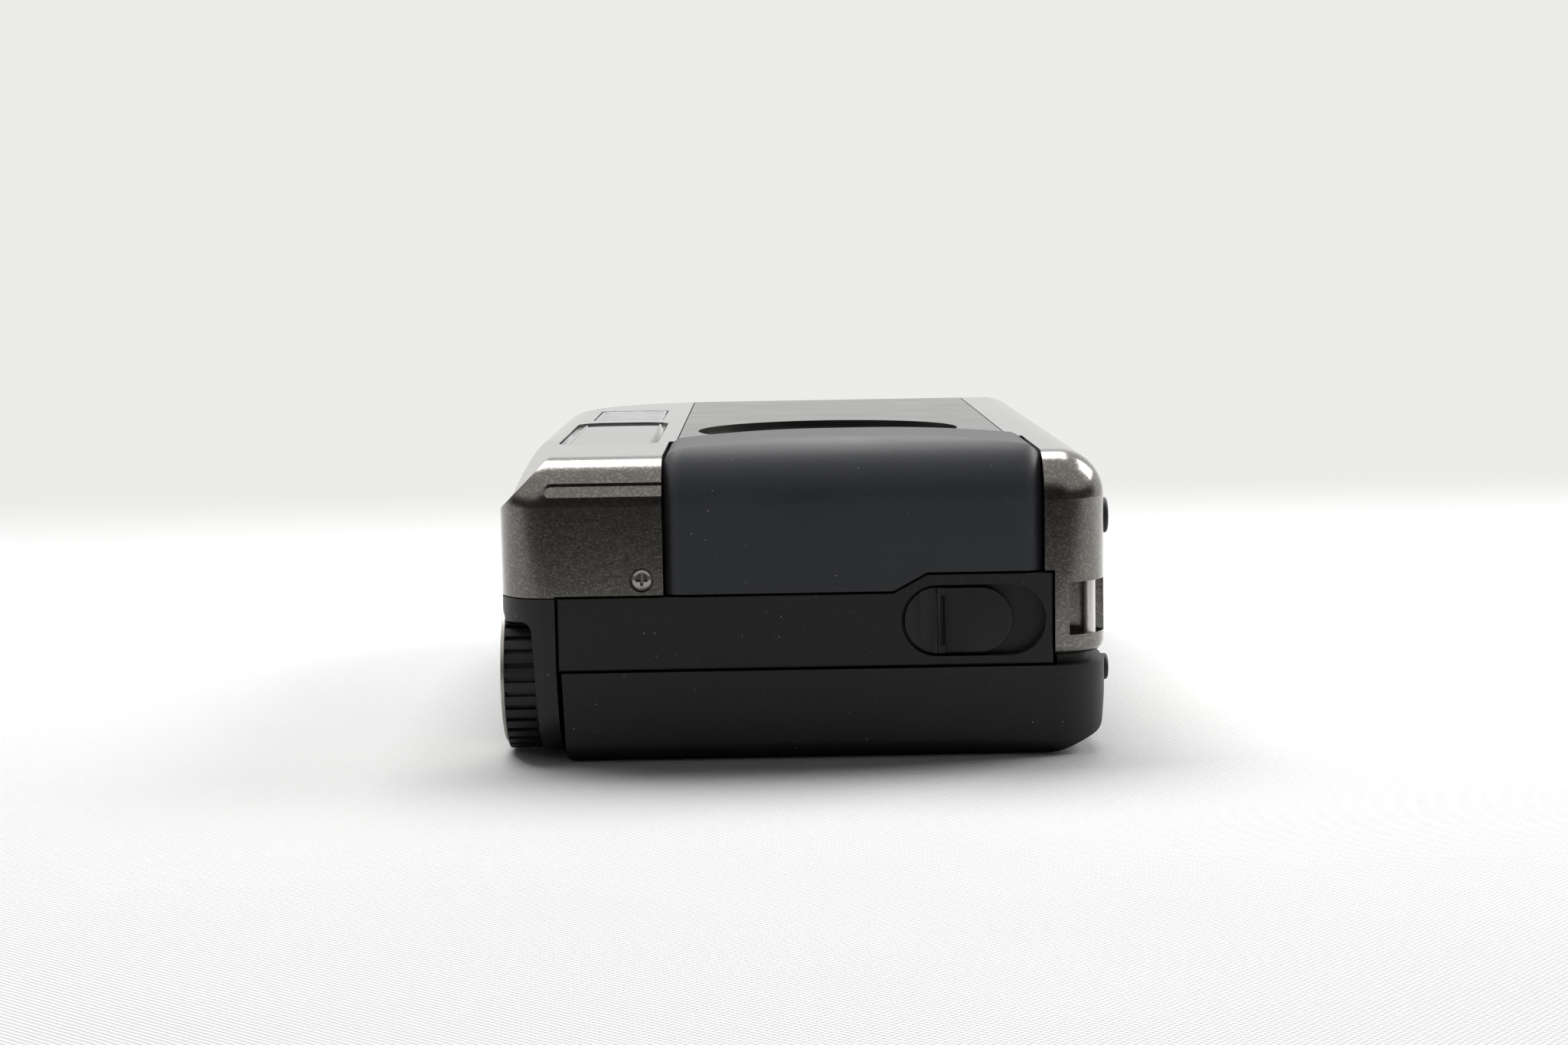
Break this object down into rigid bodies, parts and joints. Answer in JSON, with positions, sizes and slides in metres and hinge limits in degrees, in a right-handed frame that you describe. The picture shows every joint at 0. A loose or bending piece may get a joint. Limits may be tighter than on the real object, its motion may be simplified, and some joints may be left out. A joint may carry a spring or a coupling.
{
  "type": "compact film camera",
  "caption": "Pocket film camera with a telescoping zoom lens, sculpted grip, thumb dial, hinged film back and strap notch, lying on its back.",
  "frame": {"origin": "on the surface the camera lies on, in the middle of its bounding box", "axes": "+Z out of the lens, +X towards the bottom plate, +Y from the grip end to the hinge end"},
  "size_m": [0.0714, 0.1156, 0.037],
  "materials": {
    "bronze_paint": "satin metallic paint",
    "grip_plastic": "fine matt",
    "black_plastic": "matt",
    "top_plastic": "satin dark paint",
    "silver_metal": "satin nickel plate",
    "rubber": "matt",
    "clear_window": "clear",
    "glass": "coated",
    "barrel_black": "matt",
    "frame_plastic": "matt",
    "blade_metal": "matt black",
    "steel": "plain",
    "brass": "plain",
    "circuit_board": "satin",
    "display": "satin",
    "mirror": "polished",
    "lamp_glass": "clear",
    "capacitor_sleeve": "satin",
    "battery_case": "satin"
  },
  "bodies": {
    "back_door": {"back_door": "black_plastic", "door_feet": "rubber", "pressure_spring": "steel", "film_window": "clear_window", "hinge_pin": "steel"},
    "pressure_plate": {"pressure_plate": "steel"},
    "camera_body": {"front_cover": "bronze_paint", "front_panel": "top_plastic", "grip_cover": "grip_plastic", "rear_top_cover": "top_plastic", "side_cover": "black_plastic", "chassis": "frame_plastic", "strap_lug_pin": "silver_metal", "cover_screws": "steel", "body_feet": "rubber", "window_panel": "clear_window", "flash_window": "clear_window", "flash_reflector": "mirror", "flash_lamp": "lamp_glass", "viewfinder": "frame_plastic", "viewfinder_lens": "glass", "autofocus_module": "frame_plastic", "eyepiece": "black_plastic", "display_window": "clear_window", "display_panel": "display", "top_circuit_board": "circuit_board", "main_circuit_board": "circuit_board", "flash_capacitor": "capacitor_sleeve", "battery": "battery_case", "battery_back_contact": "steel", "film_motor": "steel", "gear_plate": "steel", "lens_mount_tube": "barrel_black", "tripod_bush": "steel"},
    "mode_dial": {"mode_dial": "black_plastic", "mode_dial_cap": "silver_metal"},
    "shutter_button": {"shutter_button": "silver_metal"},
    "zoom_rocker": {"zoom_rocker": "black_plastic"},
    "flash_button": {"flash_button": "black_plastic"},
    "timer_button": {"timer_button": "black_plastic"},
    "latch_slider": {"latch_slider": "black_plastic"},
    "battery_door": {"battery_door": "black_plastic", "battery_door_contact": "steel"},
    "outer_barrel": {"outer_barrel": "barrel_black"},
    "inner_barrel": {"inner_barrel": "barrel_black", "lens_cover_ring": "frame_plastic", "front_lens_cell": "frame_plastic", "front_lens": "glass", "shutter_housing": "frame_plastic"},
    "lens_cover_blade_left": {"lens_cover_blade_left": "blade_metal"},
    "lens_cover_blade_right": {"lens_cover_blade_right": "blade_metal"},
    "shutter_blade_left": {"shutter_blade_left": "blade_metal"},
    "shutter_blade_right": {"shutter_blade_right": "blade_metal"},
    "rear_lens_group": {"rear_lens_cell": "frame_plastic", "rear_lens": "glass"},
    "take_up_spool": {"take_up_spool": "frame_plastic"},
    "reduction_gear": {"reduction_gear": "frame_plastic"},
    "motor_pinion": {"motor_pinion": "brass"},
    "film_sprocket": {"film_sprocket": "frame_plastic"},
    "rewind_fork": {"rewind_fork": "frame_plastic"}
  },
  "joints": [
    {"name": "back_door_hinge", "type": "hinge", "parent": "back_door", "child": "camera_body", "pos_m": [0, 0.0553, 0.01055], "axis": [-1, 0, 0], "range_deg": [0, 100]},
    {"name": "pressure_plate_slide", "type": "slide", "parent": "back_door", "child": "pressure_plate", "axis": [0, 0, -1], "range_m": [0, 0.0008], "stiffness_N_per_m": 400, "springref_m": -0.002, "deforming": ["pressure_spring"]},
    {"name": "mode_dial_turn", "type": "hinge", "parent": "camera_body", "child": "mode_dial", "pos_m": [-0.03545, -0.0482, 0.00915], "axis": [0.9984, 0, 0.0558], "range_deg": [-135, 135]},
    {"name": "shutter_button_press", "type": "slide", "parent": "camera_body", "child": "shutter_button", "axis": [1, 0, 0], "range_m": [0, 0.001], "stiffness_N_per_m": 600, "springref_m": -0.001},
    {"name": "zoom_rocker_tilt", "type": "hinge", "parent": "camera_body", "child": "zoom_rocker", "pos_m": [-0.03455, -0.0248, 0.025], "axis": [0, 0, 1], "range_deg": [-6, 6], "stiffness_Nm_per_rad": 0.02},
    {"name": "flash_button_press", "type": "slide", "parent": "camera_body", "child": "flash_button", "axis": [1, 0, 0], "range_m": [0, 0.0005], "stiffness_N_per_m": 600, "springref_m": -0.0005},
    {"name": "timer_button_press", "type": "slide", "parent": "camera_body", "child": "timer_button", "axis": [1, 0, 0], "range_m": [0, 0.0005], "stiffness_N_per_m": 600, "springref_m": -0.0005},
    {"name": "latch_slide", "type": "slide", "parent": "camera_body", "child": "latch_slider", "axis": [1, 0, 0], "range_m": [0, 0.0034], "stiffness_N_per_m": 300, "springref_m": -0.001},
    {"name": "battery_door_hinge", "type": "hinge", "parent": "camera_body", "child": "battery_door", "pos_m": [0.03345, 0.0353, 0.0219], "axis": [0, 0, -1], "range_deg": [0, 80]},
    {"name": "outer_barrel_slide", "type": "slide", "parent": "camera_body", "child": "outer_barrel", "axis": [0, 0, 1], "range_m": [0, 0.016]},
    {"name": "inner_barrel_slide", "type": "slide", "parent": "outer_barrel", "child": "inner_barrel", "axis": [0, 0, 1], "range_m": [0, 0.013]},
    {"name": "lens_cover_left_swing", "type": "hinge", "parent": "inner_barrel", "child": "lens_cover_blade_left", "pos_m": [0.00215, -0.0225, 0.0315], "axis": [0, 0, 1], "range_deg": [0, 33]},
    {"name": "lens_cover_right_swing", "type": "hinge", "parent": "inner_barrel", "child": "lens_cover_blade_right", "pos_m": [0.00495, -0.0225, 0.0315], "axis": [0, 0, -1], "range_deg": [0, 33]},
    {"name": "shutter_left_swing", "type": "hinge", "parent": "inner_barrel", "child": "shutter_blade_left", "pos_m": [0.00215, -0.0215, 0.0185], "axis": [0, 0, 1], "range_deg": [0, 29], "stiffness_Nm_per_rad": 0.0004, "springref_deg": -11.46},
    {"name": "shutter_right_swing", "type": "hinge", "parent": "inner_barrel", "child": "shutter_blade_right", "pos_m": [0.00495, -0.0215, 0.0185], "axis": [0, 0, -1], "range_deg": [0, 29]},
    {"name": "rear_lens_slide", "type": "slide", "parent": "camera_body", "child": "rear_lens_group", "axis": [0, 0, 1], "range_m": [0, 0.0015]},
    {"name": "take_up_spool_spin", "type": "hinge", "parent": "camera_body", "child": "take_up_spool", "pos_m": [0, -0.0418, 0.013], "axis": [1, 0, 0], "continuous": true},
    {"name": "reduction_gear_spin", "type": "hinge", "parent": "camera_body", "child": "reduction_gear", "pos_m": [0, -0.03582, 0.01645], "axis": [1, 0, 0], "continuous": true},
    {"name": "motor_pinion_spin", "type": "hinge", "parent": "camera_body", "child": "motor_pinion", "pos_m": [0, -0.0418, 0.013], "axis": [1, 0, 0], "continuous": true},
    {"name": "film_sprocket_spin", "type": "hinge", "parent": "camera_body", "child": "film_sprocket", "pos_m": [0.01905, -0.0314, 0.0084], "axis": [1, 0, 0], "continuous": true},
    {"name": "rewind_fork_spin", "type": "hinge", "parent": "camera_body", "child": "rewind_fork", "pos_m": [0, 0.02, 0.0156], "axis": [1, 0, 0], "continuous": true}
  ],
  "couplings": [
    {"joint": "inner_barrel_slide", "follows": "outer_barrel_slide", "ratio": 0.8125},
    {"joint": "lens_cover_left_swing", "follows": "outer_barrel_slide", "rad_per_m": 35.997},
    {"joint": "lens_cover_right_swing", "follows": "outer_barrel_slide", "rad_per_m": 35.997},
    {"joint": "rear_lens_slide", "follows": "outer_barrel_slide", "ratio": 0.09375},
    {"joint": "shutter_right_swing", "follows": "shutter_left_swing", "ratio": 1},
    {"joint": "reduction_gear_spin", "follows": "take_up_spool_spin", "ratio": -2.8333},
    {"joint": "motor_pinion_spin", "follows": "take_up_spool_spin", "ratio": 10.2}
  ]
}
